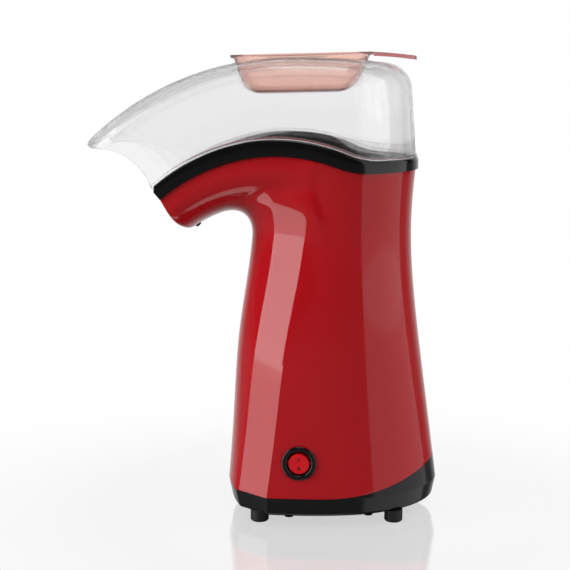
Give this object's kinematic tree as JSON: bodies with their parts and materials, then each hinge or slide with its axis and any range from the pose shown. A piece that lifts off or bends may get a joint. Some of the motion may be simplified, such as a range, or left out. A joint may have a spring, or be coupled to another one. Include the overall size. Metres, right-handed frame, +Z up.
{
  "type": "popcorn maker",
  "caption": "Hot-air popcorn maker with an upright red body, wavy black collar, clear hood over a forward spout, lift-out measuring cup and round rocker switch.",
  "frame": {"origin": "on the floor plane, under the common axis of the motor, fan and popping chamber", "axes": "+Z up; the spout points to -X and the back is +X; the switch is on the -Y side"},
  "size_m": [0.2405, 0.1254, 0.3153],
  "materials": {
    "red_shell": "high gloss",
    "black_gloss": "high gloss",
    "black_matte": "fine grain",
    "clear_lid": "clear, polished",
    "tinted_cup": "translucent, polished",
    "foot_rubber": "matte",
    "red_rocker": "gloss",
    "white_nylon": "satin",
    "bare_aluminium": "spun",
    "zinc_steel": "zinc plated",
    "bronze": "sintered",
    "copper": "bare",
    "ferrite": "matte",
    "circuit_board": "satin",
    "mica": "satin",
    "silicone": "matte"
  },
  "bodies": {
    "body": {"base": "black_gloss", "feet": "foot_rubber", "cord_gland": "black_matte", "base_screws": "zinc_steel", "housing_screws": "zinc_steel", "fan_housing": "black_matte", "motor_can": "zinc_steel", "motor_end_cap": "white_nylon", "lower_bearing": "bronze", "upper_bearing": "bronze", "motor_magnets": "ferrite", "motor_screws": "zinc_steel", "rectifier_board": "circuit_board", "air_duct": "bare_aluminium", "heater_frame": "mica", "heating_coil": "zinc_steel", "thermostat": "zinc_steel", "thermal_fuse": "bare_aluminium", "popping_chamber": "bare_aluminium", "chamber_gasket": "silicone", "housing_left": "red_shell", "housing_right": "red_shell", "chute_deck": "black_matte", "spout_screw": "black_matte", "collar": "black_gloss", "switch_body": "black_gloss", "switch_terminals": "copper"},
    "lid": {"lid": "clear_lid"},
    "cup": {"measuring_cup": "tinted_cup"},
    "rocker": {"switch_rocker": "red_rocker"},
    "rotor": {"motor_shaft": "zinc_steel", "armature": "zinc_steel", "commutator": "copper", "fan_impeller": "white_nylon"}
  },
  "joints": [
    {"name": "lid_lift", "type": "slide", "parent": "body", "child": "lid", "axis": [0, 0, 1], "range_m": [0, 0.12]},
    {"name": "cup_lift", "type": "slide", "parent": "lid", "child": "cup", "axis": [0, 0, 1], "range_m": [0, 0.06]},
    {"name": "switch_rock", "type": "hinge", "parent": "body", "child": "rocker", "pos_m": [-0.018, -0.05847, 0.04558], "axis": [-1, 0, 0], "range_deg": [0, 18]},
    {"name": "fan_spin", "type": "hinge", "parent": "body", "child": "rotor", "pos_m": [0, 0, 0.062], "axis": [0, 0, 1], "continuous": true}
  ]
}
